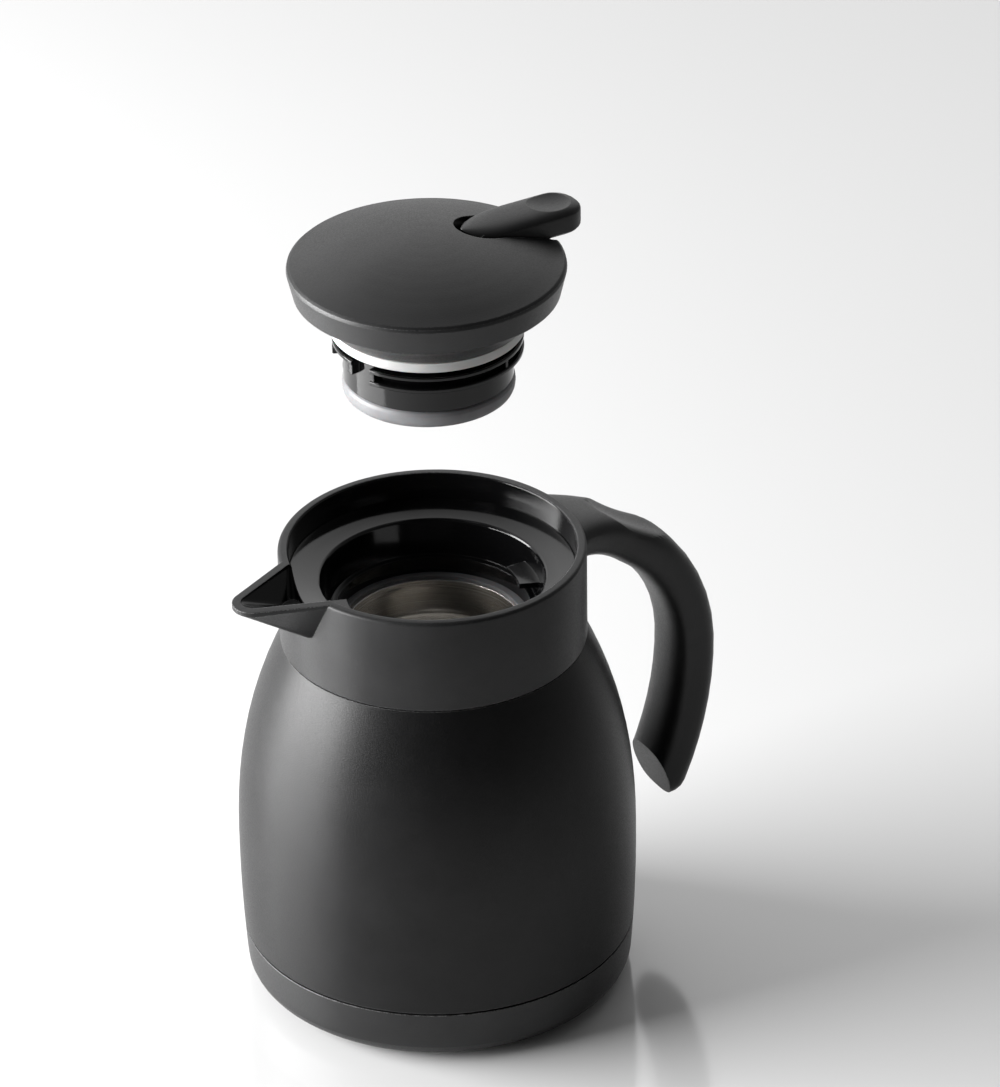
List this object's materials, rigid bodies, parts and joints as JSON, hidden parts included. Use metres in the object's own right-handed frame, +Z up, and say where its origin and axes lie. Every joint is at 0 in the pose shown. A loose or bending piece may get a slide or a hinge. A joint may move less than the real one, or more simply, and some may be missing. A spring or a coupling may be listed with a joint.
{
  "type": "thermal carafe",
  "caption": "Double-walled insulated serving carafe with a pouring collar and spout, an open handle, and a twist-in lid whose thumb lever lifts a pouring valve; the lid is shown lifted off",
  "frame": {"origin": "on the flask's axis, in the plane of the foot ring's lower face", "axes": "+Z up, spout towards -X, handle and lever towards +X"},
  "size_m": [0.1558, 0.116, 0.2407],
  "materials": {
    "body_coat": "matt powder coat with a fine grain",
    "steel_satin": "satin",
    "plastic_matt": "matt with a fine grain",
    "plastic_gloss": "gloss",
    "foot_rubber": "matt",
    "silicone_grey": "satin silicone",
    "silicone_pale": "satin silicone"
  },
  "bodies": {
    "flask": {"outer_shell": "body_coat", "inner_bottle": "steel_satin", "bottom_plate": "steel_satin", "vacuum_cap": "steel_satin", "base_cover": "plastic_matt", "foot_ring": "foot_rubber", "collar": "plastic_matt", "anchor_ring": "steel_satin", "anchor_screws": "steel_satin", "neck_insert": "plastic_gloss", "neck_gasket": "silicone_grey", "handle": "plastic_matt"},
    "seal_ring": {"stopper_seal": "silicone_grey"},
    "lid": {"lid_cover": "plastic_matt", "lid_base": "plastic_gloss", "cover_gasket": "silicone_pale", "stopper": "plastic_gloss", "lid_screws": "steel_satin", "lever_pin": "steel_satin"},
    "thumb_lever": {"lever": "plastic_matt"},
    "valve": {"valve_stem": "plastic_gloss", "valve_seal": "silicone_grey", "stem_cap": "steel_satin", "valve_spring": "steel_satin"}
  },
  "joints": [
    {"name": "lid_lift", "type": "slide", "parent": "flask", "child": "seal_ring", "axis": [0, 0, 1], "range_m": [-0.083, 0]},
    {"name": "lid_turn", "type": "hinge", "parent": "seal_ring", "child": "lid", "pos_m": [0, 0, 0.2], "axis": [0, 0, 1], "range_deg": [0, 40]},
    {"name": "lever_press", "type": "hinge", "parent": "lid", "child": "thumb_lever", "pos_m": [0.017, 0, 0.2354], "axis": [0, 1, 0], "range_deg": [0, 7], "stiffness_Nm_per_rad": 0.6, "springref_deg": -5.73},
    {"name": "valve_lift", "type": "slide", "parent": "lid", "child": "valve", "axis": [0, 0, 1], "range_m": [0, 0.0025], "deforming": ["valve_spring"]}
  ],
  "couplings": [
    {"joint": "valve_lift", "follows": "lever_press", "m_per_rad": 0.017}
  ]
}
